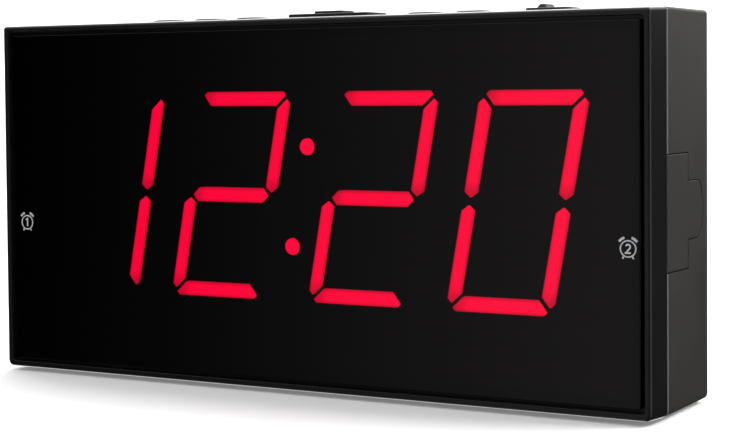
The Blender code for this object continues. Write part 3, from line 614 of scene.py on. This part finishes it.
def case_half(name, front_end, back_end, steps=8):
    """One half of the case as a solid. Each end is (y, width, height, radius of its edge)."""
    outlines = []
    for (y, width, height, edge), inwards in ((front_end, 1), (back_end, -1)):
        rounding = []
        for i in range(steps + 1):
            angle = math.pi / 2 * i / steps
            outline = case_outline(width, height, edge * (1 - math.sin(angle)))
            depth = y + inwards * edge * (1 - math.cos(angle))
            rounding.append([(x, depth, z) for x, z in outline])
        outlines += rounding[::inwards]
    return skinned(name, outlines, (0, 0, case_middle))


def hollow(target, y0, y1, width, height):
    """Cuts a box-shaped space out of the target, centred on the case."""
    low = (-width / 2, y0, case_middle - height / 2)
    high = (width / 2, y1, case_middle + height / 2)
    combine(target, block("hollow", low, high))


def make_bezel():
    bezel = case_half(
        "bezel",
        (front, FRONT_WIDTH, FRONT_HEIGHT, FRONT_EDGE),
        (parting, case_width, case_height, PARTING_EDGE),
    )
    recess = rounded_rectangle(FRONT_WIDTH - 2 * LIP_SIDE, FRONT_HEIGHT - 2 * LIP_TOP, 0.8 * MM)
    place = (0, front, case_middle)
    combine(bezel, flat_solid("recess", [recess], 2 * LEDGE_DEPTH, place, "front"))
    ledge_back = front + LEDGE_DEPTH + LEDGE_THICKNESS
    hollow(bezel, front, parting, *LEDGE_OPENING)
    outer = (INSIDE_WIDTH - 2 * FIT, INSIDE_HEIGHT - 2 * FIT)
    inner = (outer[0] - 2 * TONGUE_WALL, outer[1] - 2 * TONGUE_WALL)
    hollow(bezel, ledge_back, parting + MM, *inner)
    tongue = [rectangle(*outer), rectangle(*inner)]
    length = TONGUE_REACH + MM
    place = (0, parting + TONGUE_REACH - length / 2, case_middle)
    combine(bezel, flat_solid("tongue", tongue, length, place, "front"), "UNION")
    post_start, post_end = ledge_back - OVERLAP, TUNNEL_FLOOR - FIT
    posts = screw_outlines(POST_RADIUS)
    place = (0, (post_start + post_end) / 2, case_middle)
    combine(bezel, flat_solid("posts", posts, post_end - post_start, place, "front"), "UNION")
    bores = screw_outlines(POST_BORE_RADIUS)
    length = POST_BORE_DEPTH + MM
    place = (0, post_end + MM - length / 2, case_middle)
    combine(bezel, flat_solid("post_bores", bores, length, place, "front"))
    soften(bezel, 0.10 * MM, 2, 50)
    piece(bezel, "case", BEZEL_BLACK, ["front_bezel"])


def make_window_border():
    """The opaque band printed round the back of the window, inside which the display shows."""
    low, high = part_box("display_window")
    reflector_low, reflector_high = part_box("display_reflector")
    drop = case_middle - (reflector_low.z + reflector_high.z) / 2
    opening = rectangle(*WINDOW_OPENING, (0.0, -drop))
    band = [rounded_rectangle(high.x - low.x - MM, high.z - low.z - MM, 0.4 * MM), opening]
    place = (0, high.y + 0.04 * MM, case_middle)
    border = flat_solid("window_border", band, 0.05 * MM, place, "front")
    piece(border, "case", BAND_BLACK)


def make_window():
    low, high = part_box("display_window")
    outline = rounded_rectangle(high.x - low.x, high.z - low.z, 0.6 * MM)
    window = flat_solid("window", [outline], high.y - low.y, (low + high) / 2, "front")
    soften(window, 0.28 * MM, 2)
    piece(window, "case", WINDOW, ["display_window"])


def screw_outlines(radius):
    return [circle(radius, (x, z - case_middle), 32) for z in SCREW_HEIGHTS for x in (-SCREW_X, SCREW_X)]


def cover_outline(gap, start):
    """The side cover's outline in Y and Z, made smaller all round by gap."""
    low, high = COVER_LOW + gap, COVER_HIGH - gap
    tab_low, tab_high = TAB_LOW + gap, TAB_HIGH - gap
    step, tip = COVER_STEP - gap, TAB_TIP - gap
    middle, straight = (tab_low + tab_high) / 2, (tab_high - tab_low) / 2 - TAB_RADIUS
    corner_y = tip - TAB_BULGE - TAB_RADIUS
    points = [(start, low), (step, low), (step, tab_low)]
    for y, z in arc(TAB_RADIUS, -90, 0, 8):
        points.append((corner_y + y, middle - straight + z))
    for i in range(1, 16):
        across = i / 8 - 1
        points.append((tip - TAB_BULGE * across * across, middle + straight * across))
    for y, z in arc(TAB_RADIUS, 0, 90, 8):
        points.append((corner_y + y, middle + straight + z))
    return points + [(step, tab_high), (step, high), (start, high)]


def sound_slots():
    """Rows of slots that fill a circle in front of the speaker."""
    pitch = 2 * SOUND_RADIUS / SOUND_ROWS
    slots = []
    for row in range(SOUND_ROWS):
        z = (row - (SOUND_ROWS - 1) / 2) * pitch
        length = 2 * math.sqrt(SOUND_RADIUS**2 - z * z)
        slots.append(rounded_rectangle(length, SOUND_SLOT, 0.89 * MM, (0, z), 6))
    return slots


def control_openings():
    """Outlines of the holes in the top wall, each a little larger than its key."""
    openings = []
    holes = [(name, KEY_SIZE, KEY_RADIUS) for name in KEYS]
    for name, size, radius in holes + [("snooze_bar", SNOOZE_SIZE, SNOOZE_RADIUS)]:
        width, depth = ((side + 2 * CONTROL_GAP) * MM for side in size)
        openings.append(rounded_rectangle(width, depth, (radius + CONTROL_GAP) * MM, (middle_x(name), 0)))
    openings.append(rounded_rectangle(*SWITCH_SLOT, 0.6 * MM, (middle_x("slide_switch_knob"), 0)))
    return openings


def middle_x(name):
    low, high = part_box(name)
    return (low.x + high.x) / 2


def feet_places():
    return [(name, sum(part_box(name), Vector()) / 2) for name in nodes if name.startswith("foot_")]


def make_shell():
    y0 = shell_low.y
    shell = case_half(
        "shell",
        (y0, case_width, case_height, SHELL_EDGE),
        (back, case_width, case_height, FRONT_EDGE),
    )
    hollow(shell, y0 - MM, back - BACK_WALL, INSIDE_WIDTH, INSIDE_HEIGHT)
    through = 8 * MM
    tunnel_end = back - BACK_WALL + OVERLAP
    tunnels = screw_outlines(TUNNEL_RADIUS)
    place = (0, (TUNNEL_FLOOR + tunnel_end) / 2, case_middle)
    combine(shell, flat_solid("tunnels", tunnels, tunnel_end - TUNNEL_FLOOR, place, "front"), "UNION")
    bore_start, bore_end = TUNNEL_FLOOR + TUNNEL_FLOOR_THICKNESS, back + MM
    bores = screw_outlines(HEAD_BORE_RADIUS)
    place = (0, (bore_start + bore_end) / 2, case_middle)
    combine(shell, flat_solid("bores", bores, bore_end - bore_start, place, "front"))
    shanks = screw_outlines(SHANK_BORE_RADIUS)
    place = (0, TUNNEL_FLOOR + 0.5 * MM, case_middle)
    combine(shell, flat_solid("shank_holes", shanks, 6 * MM, place, "front"))
    combine(shell, flat_solid("control_holes", control_openings(), through, (0, CONTROL_Y, top)))
    combine(shell, flat_solid("sound_slots", sound_slots(), through, (SOUND_X, back, case_middle), "front"))
    door_low, door_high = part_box("battery_door")
    door = (door_low + door_high) / 2
    hole = [rectangle(*CELL_OPENING)]
    combine(shell, flat_solid("cell_opening", hole, through, (door.x, back, door.z), "front"))
    rim = [rounded_rectangle(*DOOR_RECESS, DOOR_RECESS_RADIUS)]
    combine(shell, flat_solid("door_recess", rim, 2 * MM, (door.x, back, door.z), "front"))
    rear_holes = [circle(JACK_HOLE_RADIUS, (JACK_X, 0)), circle(AERIAL_HOLE_RADIUS, (AERIAL_X, 0))]
    combine(shell, flat_solid("rear_holes", rear_holes, through, (0, back, JACK_Z), "front"))
    notch = [cover_outline(0.0, shell_low.y - 2 * MM)]
    combine(shell, flat_solid("cover_notch", notch, through, (case_width / 2, 0, 0), "side"))
    pockets = [circle(FOOT_POCKET_RADIUS, (place.x, place.y)) for _, place in feet_places()]
    combine(shell, flat_solid("foot_pockets", pockets, 2 * FOOT_POCKET_DEPTH, (0, 0, bottom)))
    soften(shell, 0.15 * MM, 2, 50)
    piece(shell, "case", SHELL_BODY, ["rear_shell"])


def make_cover():
    outline = [cover_outline(COVER_GAP, shell_low.y)]
    x = case_width / 2
    cover = flat_solid("cover", outline, side_wall, (x - side_wall / 2, 0, 0), "side")
    soften(cover, 0.2 * MM, 3, 50)
    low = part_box("side_cover")[0]
    middle = (COVER_LOW + COVER_HIGH) / 2
    backing_low = (low.x, low.y + BACKING_START, middle - BACKING_HALF_HEIGHT)
    backing_high = (x - side_wall - FIT, back - BACK_WALL - FIT, middle + BACKING_HALF_HEIGHT)
    combine(cover, block("backing", backing_low, backing_high), "UNION")
    piece(cover, "case", SHELL_GREY, ["side_cover"])


def make_door():
    low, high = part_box("battery_door")
    middle = (low + high) / 2
    plate = [rounded_rectangle(high.x - low.x, high.z - low.z, DOOR_RADIUS)]
    place = (middle.x, high.y - DOOR_PLATE / 2, middle.z)
    door = flat_solid("cell_door", plate, DOOR_PLATE, place, "front")
    plug_low = (low.x + DOOR_PLUG_INSET, low.y, low.z + DOOR_PLUG_INSET)
    plug_high = (high.x - DOOR_PLUG_INSET, high.y - 0.5 * MM, high.z - DOOR_PLUG_INSET)
    combine(door, block("plug", plug_low, plug_high), "UNION")
    nail = [rounded_rectangle(*NAIL_SLOT, 0.79 * MM)]
    place = (middle.x, high.y, middle.z + NAIL_SLOT_RISE)
    combine(door, flat_solid("nail_slot", nail, MM, place, "front"))
    soften(door, 0.15 * MM, 3, 50)
    piece(door, "battery_door", SHELL_GREY, ["battery_door"])


# ---------------------------------------------------------------- display


def segment_outlines():
    """The seven segments of one upright digit, about its middle, each anticlockwise."""
    right, upper, bar = DIGIT_HALF_WIDTH, DIGIT_HALF_HEIGHT, SEGMENT
    upper_bar = [
        (right - 3.6 * MM, upper - bar),
        (right - 1.45 * MM, upper - 0.75 * MM),
        (right - 2.15 * MM, upper),
        (-right + 2.15 * MM, upper),
        (-right + 1.45 * MM, upper - 0.75 * MM),
        (-right + 3.6 * MM, upper - bar),
    ]
    middle_bar = [
        (right - 2.2 * MM, 0.0),
        (right - 3.55 * MM, bar / 2),
        (-right + 3.55 * MM, bar / 2),
        (-right + 2.2 * MM, 0.0),
        (-right + 3.55 * MM, -bar / 2),
        (right - 3.55 * MM, -bar / 2),
    ]
    upper_right = [
        (right - bar / 2, 0.75 * MM),
        (right, 2.0 * MM),
        (right, upper - 2.6 * MM),
        (right - 1.0 * MM, upper - 1.65 * MM),
        (right - bar, upper - 3.85 * MM),
        (right - bar, 1.95 * MM),
    ]

    def mirrored(points, sx, sy):
        flipped = [(sx * x, sy * y) for x, y in points]
        return flipped if sx * sy > 0 else flipped[::-1]

    return {
        "a": upper_bar,
        "b": upper_right,
        "c": mirrored(upper_right, 1, -1),
        "d": mirrored(upper_bar, 1, -1),
        "e": mirrored(upper_right, -1, -1),
        "f": mirrored(upper_right, -1, 1),
        "g": middle_bar,
    }


def mark_along(obj):
    """A UV map that runs from 0 to 1 along a slanted bar in U, and across it in V."""
    mesh = obj.data
    points = [(vertex.co.x - SLANT * vertex.co.y, vertex.co.y) for vertex in mesh.vertices]
    spans = [(min(p[i] for p in points), max(p[i] for p in points)) for i in (0, 1)]
    long_axis = 0 if spans[0][1] - spans[0][0] > spans[1][1] - spans[1][0] else 1
    layer = mesh.uv_layers.new(name="along")
    for loop, uv in zip(mesh.loops, layer.uv):
        shares = []
        for axis in (long_axis, 1 - long_axis):
            low, high = spans[axis]
            shares.append((points[loop.vertex_index][axis] - low) / (high - low))
        uv.vector = shares


def joined(name, objects):
    """One object from several."""
    with bpy.context.temp_override(
        active_object=objects[0], object=objects[0], selected_editable_objects=objects
    ):
        bpy.ops.object.join()
    objects[0].name = objects[0].data.name = name
    return objects[0]


def light_bars(name, outlines, x, node, material):
    """The bars of a light guide, from the display's face back to its plate."""
    low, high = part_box(node)
    end = high.y - GUIDE_BARS_END
    bars = []
    for i, outline in enumerate(outlines):
        place = (x, (low.y + end) / 2, (low.z + high.z) / 2)
        bar = flat_solid(f"{name}_{i}", [outline], end - low.y, place, "front")
        mark_along(bar)
        bars.append(bar)
    piece(soften(joined(name, bars), 0.1 * MM, 2), "case", material, [node])


def guide_plate(name, width, height, x, node):
    """The plate behind a light guide's bars, which holds them together."""
    low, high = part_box(node)
    sheet = [slanted(rectangle(width, height))]
    place = (x, high.y - GUIDE_PLATE / 2, (low.z + high.z) / 2)
    plate = flat_solid(name, sheet, GUIDE_PLATE, place, "front")
    piece(soften(plate, 0.1 * MM), "case", UNLIT, [node])


def make_digits():
    outlines = segment_outlines()
    for number, lit in enumerate(LIT_SEGMENTS, 1):
        node = f"digit_lens_{number}"
        x = middle_x(node)
        shown = [slanted(outlines[key]) for key in outlines if key in lit]
        dark = [slanted(outlines[key]) for key in outlines if key not in lit]
        light_bars(f"digit_{number}_lit", shown, x, node, LIT)
        light_bars(f"digit_{number}_unlit", dark, x, node, UNLIT)
        width = 2 * DIGIT_HALF_WIDTH + 3 * MM
        height = 2 * DIGIT_HALF_HEIGHT + 2.4 * MM
        guide_plate(f"digit_{number}_plate", width, height, x, node)


def make_colon():
    dots = [circle(COLON_RADIUS, (SLANT * rise, rise), 32) for rise in (COLON_RISE, -COLON_RISE)]
    light_bars("colon_lit", dots, 0.0, "colon_lens", LIT_DOT)
    guide_plate("colon_plate", 6 * MM, 27 * MM, 0.0, "colon_lens")


def alarm_icon(numeral, x, z):
    """A small printed alarm clock: a ring with two bells and two feet, round a numeral."""
    ring = [circle(1.74 * MM, steps=40), circle(1.46 * MM, steps=40)]
    bells = [stroke(arc(2.32 * MM, start, start + 34, 8), 0.5 * MM) for start in (37, 109)]
    feet = []
    for side in (-1, 1):
        feet.append(stroke([(side * 0.92 * MM, -1.50 * MM), (side * 1.16 * MM, -1.95 * MM)], 0.34 * MM))
    if numeral == 1:
        path = [(-0.42 * MM, 0.52 * MM), (0.06 * MM, 0.88 * MM), (0.06 * MM, -0.92 * MM)]
    else:
        bow = [(x, y + 0.40 * MM) for x, y in arc(0.46 * MM, 165, -35, 9)]
        path = bow + [(-0.50 * MM, -0.80 * MM), (0.56 * MM, -0.80 * MM)]
    strokes = bells + feet + [stroke(path, 0.32 * MM)]
    place = (x, window_face + 0.01 * MM, z)
    icon = flat_solid(f"alarm_icon_{numeral}", ring + strokes, 0.06 * MM, place, "front")
    piece(icon, "case", PRINT_GREY)


# ---------------------------------------------------------------- controls and feet


def pillow(crest, drop, inset, width, depth, radius, shift=0.0, steps=7):
    """Levels of a softly rounded top, from its straight side in to its flat middle."""
    levels = []
    for i in range(steps + 1):
        angle = math.pi / 2 * i / steps
        shrink = inset * (1 - math.cos(angle))
        height = crest - drop * (1 - math.sin(angle))
        levels.append(level(height, width - 2 * shrink, depth - 2 * shrink, radius - shrink, shift))
    return levels


def stem_and_flange(low, width, depth, radius):
    """Levels of a key's stem, and of the flange that keeps the key under the top wall."""
    flange_low = flange_top - FLANGE_THICKNESS
    levels = [level(height, *KEY_STEM) for height in (low.z / MM, flange_low)]
    return levels + [level(height, width, depth, radius) for height in (flange_low, flange_top)]


def make_keys():
    width, depth = KEY_SIZE
    for name in KEYS:
        low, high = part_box(name)
        levels = stem_and_flange(low, width + 1.4, depth + 1.5, 3.0)
        levels.append(level(flange_top, width, depth, KEY_RADIUS))
        levels += pillow(high.z / MM, 0.4, 1.3, width, depth, KEY_RADIUS)
        key = skinned(name + "_cap", levels, (middle_x(name), CONTROL_Y, 0))
        soften(key, 0.08 * MM, 2, 40)
        piece(key, name, KEY_BLACK, [name])


def make_snooze():
    low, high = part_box("snooze_bar")
    crest = high.z / MM
    step = crest - SNOOZE_TIER_HEIGHT
    width, depth = SNOOZE_SIZE
    levels = stem_and_flange(low, width + 1.6, depth + 1.6, 1.5)
    levels.append(level(flange_top, width, depth, SNOOZE_RADIUS))
    levels += pillow(step, 0.25, 0.25, width, depth, SNOOZE_RADIUS)
    levels.append(level(step, *SNOOZE_TIER))
    levels += pillow(crest, 0.2, 0.2, *SNOOZE_TIER)
    bar = skinned("snooze_cap", levels, (middle_x("snooze_bar"), CONTROL_Y, 0))
    soften(bar, 0.06 * MM, 2, 40)
    piece(bar, "snooze_bar", KEY_BLACK, ["snooze_bar"])


def make_knob():
    low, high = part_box("slide_switch_knob")
    base, crest = top / MM + SWITCH_CLEARANCE, high.z / MM
    step = base + SWITCH_BASE_HEIGHT
    levels = [level(height, *SWITCH_STEM) for height in (low.z / MM, base)]
    levels.append(level(base, *SWITCH_BASE))
    levels += pillow(step, 0.25, 0.25, *SWITCH_BASE)
    levels.append(level(step, 2.6, 5.0, 0.5, RIDGE_SHIFT))
    levels.append(level(crest - 0.3, 1.7, 4.6, 0.4, RIDGE_SHIFT))
    levels += pillow(crest, 0.3, 0.3, 1.6, 4.6, 0.4, RIDGE_SHIFT)
    knob = skinned("slide_cap", levels, (middle_x("slide_switch_knob"), CONTROL_Y, 0))
    soften(knob, 0.08 * MM, 2, 40)
    piece(knob, "slide_switch_knob", KEY_BLACK, ["slide_switch_knob"])


def make_feet():
    for name, place in feet_places():
        low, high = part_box(name)
        outline = [circle((high.x - low.x) / 2, steps=56)]
        foot = flat_solid(name + "_pad", outline, high.z - low.z, place)
        soften(foot, 0.35 * MM, 3)
        piece(foot, "case", RUBBER, [name])


def carry_over():
    """Gives every CAD node that still shows its own procedural material."""
    slots = {row["node"]: row["material_slot"] for row in frame["record"]["subparts"]}
    for name, node in nodes.items():
        if node.hide_render:
            continue
        material = CARRIED.get(slots[name], BEZEL_BLACK)
        node.data.materials.clear()
        node.data.materials.append(material)


# ---------------------------------------------------------------- stage


def make_camera():
    azimuth, pitch = CAMERA_AZIMUTH, CAMERA_PITCH
    ahead = Vector(
        (-math.sin(azimuth) * math.cos(pitch), math.cos(azimuth) * math.cos(pitch), -math.sin(pitch))
    )
    sideways = Vector((math.cos(azimuth), math.sin(azimuth), 0.0))
    upright = sideways.cross(ahead)
    right = sideways * math.cos(CAMERA_ROLL) + upright * math.sin(CAMERA_ROLL)
    up = -sideways * math.sin(CAMERA_ROLL) + upright * math.cos(CAMERA_ROLL)
    data = bpy.data.cameras.new("camera")
    data.lens = CAMERA_LENS
    data.shift_y = CAMERA_SHIFT
    data.clip_start = 0.01
    camera = link("camera", data)
    turn = Matrix((right, up, -ahead)).transposed()
    camera.matrix_world = Matrix.Translation(CAMERA_PLACE) @ turn.to_4x4()
    bpy.context.scene.camera = camera


def turned_sheet(name, profile, steps=96):
    """A sheet turned about Z from its profile of (radius, height) points."""
    bm = bmesh.new()
    rings = []
    for radius, height in profile:
        ring = []
        for i in range(steps):
            angle = 2 * math.pi * i / steps
            ring.append(bm.verts.new((radius * math.cos(angle), radius * math.sin(angle), height)))
        rings.append(ring)
    for low, high in zip(rings, rings[1:]):
        for i in range(steps):
            bm.faces.new((low[i - 1], low[i], high[i], high[i - 1]))
    if profile[0][0] < 0.5:
        bm.faces.new(rings[0])
    bmesh.ops.recalc_face_normals(bm, faces=bm.faces)
    mesh = bpy.data.meshes.new(name)
    bm.to_mesh(mesh)
    bm.free()
    mesh.shade_smooth()
    return link(name, mesh)


def glowing_paper(name, fibre_size):
    """Matt white paper that can also glow."""
    tree = Tree(name, (0.9, 0.9, 0.9), 0.9)
    fibre = tree.noise(fibre_size)
    tree.feed("Base Color", tree.ramp(fibre, [(0.3, (0.89, 0.89, 0.89)), (0.7, (0.91, 0.91, 0.91))]))
    tree.shader.inputs["Emission Color"].default_value = (1.0, 1.0, 1.0, 1.0)
    return tree


def make_stage():
    """A round white floor, and a white wall round it that only the camera sees."""
    floor = turned_sheet("floor", [(0.4, 0.0), (4.0, 0.0)])
    if floor.data.polygons[0].normal.z < 0:
        floor.data.flip_normals()
    tree = glowing_paper("floor_paper", 2 * MM)
    reach = tree.add("ShaderNodeVectorMath", {0: tree.place}, operation="LENGTH").outputs["Value"]
    # The floor glows less near the object than far off, which paints shade on the floor round it.
    tree.feed("Emission Strength", tree.remap(reach, *FLOOR_GLOW_AND_SHADE, 0.15, 0.9))
    floor.data.materials.append(tree.material)
    floor.visible_glossy = False
    floor.visible_transmission = False
    angles = (0, 0.4, 0.8, 1.2, math.pi / 2)
    sweep = [(3.9 + 0.8 * math.sin(angle), 0.8 - 0.8 * math.cos(angle)) for angle in angles]
    wall = turned_sheet("backdrop", sweep + [(4.7, 6.0)])
    tree = glowing_paper("backdrop_paper", 5 * MM)
    tree.shader.inputs["Emission Strength"].default_value = 1.0
    wall.data.materials.append(tree.material)
    for kind in ("glossy", "diffuse", "shadow", "transmission"):
        setattr(wall, "visible_" + kind, False)


def make_world():
    """A soft white sky, over a horizon that is dark in front and to the right."""
    world = bpy.data.worlds.new("studio")
    bpy.context.scene.world = world
    world.use_nodes = True
    tree = world.node_tree
    sky = tree.nodes["Background"]
    sky.inputs["Color"].default_value = (1.0, 1.0, 1.0, 1.0)
    place = tree.nodes.new("ShaderNodeTexCoord").outputs["Generated"]
    parts = tree.nodes.new("ShaderNodeSeparateXYZ")
    tree.links.new(place, parts.inputs[0])

    def remap(value, start, end, low, high):
        node = tree.nodes.new("ShaderNodeMapRange")
        node.interpolation_type = "SMOOTHSTEP"
        tree.links.new(value, node.inputs["Value"])
        for key, number in (("From Min", start), ("From Max", end), ("To Min", low), ("To Max", high)):
            node.inputs[key].default_value = number
        return node.outputs["Result"]

    def mix(factor, first, second):
        node = tree.nodes.new("ShaderNodeMix")
        for key, value in (("Factor", factor), ("A", first), ("B", second)):
            if isinstance(value, float):
                node.inputs[key].default_value = value
            else:
                tree.links.new(value, node.inputs[key])
        return node.outputs["Result"]

    def multiply(first, second):
        node = tree.nodes.new("ShaderNodeMath")
        node.operation = "MULTIPLY"
        tree.links.new(first, node.inputs[0])
        tree.links.new(second, node.inputs[1])
        return node.outputs[0]

    # Each remap takes a stretch of one axis of the viewing direction to a brightness or a share.
    x, y, z = (parts.outputs[axis] for axis in "XYZ")
    ahead = multiply(remap(x, -0.68, -0.30, 0.015, 1.0), remap(x, -0.30, -0.05, 0.26, 0.01))
    behind = remap(x, -0.35, -0.05, 2.6, 0.02)
    flank = mix(remap(x, 0.70, 0.86, 0.0, 1.0), ahead, FLANK)
    before = mix(remap(z, 0.08, 0.8, 0.0, 1.0), flank, SKY)
    beyond = mix(remap(z, 0.04, 0.20, 0.0, 1.0), behind, remap(x, -0.1, 0.3, *SKY_BEHIND))
    tree.links.new(mix(remap(y, -0.2, 0.3, 0.0, 1.0), before, beyond), sky.inputs["Strength"])


def area_light(name, place, target, size, power, spread=180):
    data = bpy.data.lights.new(name, "AREA")
    data.shape = "RECTANGLE"
    data.size, data.size_y = size
    data.energy = power
    data.spread = math.radians(spread)
    light = link(name, data)
    light.location = place
    light.rotation_euler = (Vector(target) - Vector(place)).to_track_quat("-Z", "Y").to_euler()


def make_lights():
    area_light("overhead", (0.0, 0.45, 1.15), (0.0, 0.0, 0.04), (1.2, 0.7), 8.5)
    area_light("right", (0.32, 0.10, 0.30), (0.08, 0.0, 0.07), (0.16, 0.16), 0.28, 90)


bpy.context.scene.view_settings.view_transform = "Standard"
make_camera()
make_stage()
make_world()
make_lights()
make_bezel()
make_window()
make_window_border()
make_shell()
make_cover()
make_door()
make_digits()
make_colon()
for numeral, (icon_x, icon_z) in enumerate(ICON_PLACES, 1):
    alarm_icon(numeral, icon_x, icon_z)
make_keys()
make_snooze()
make_knob()
make_feet()
carry_over()
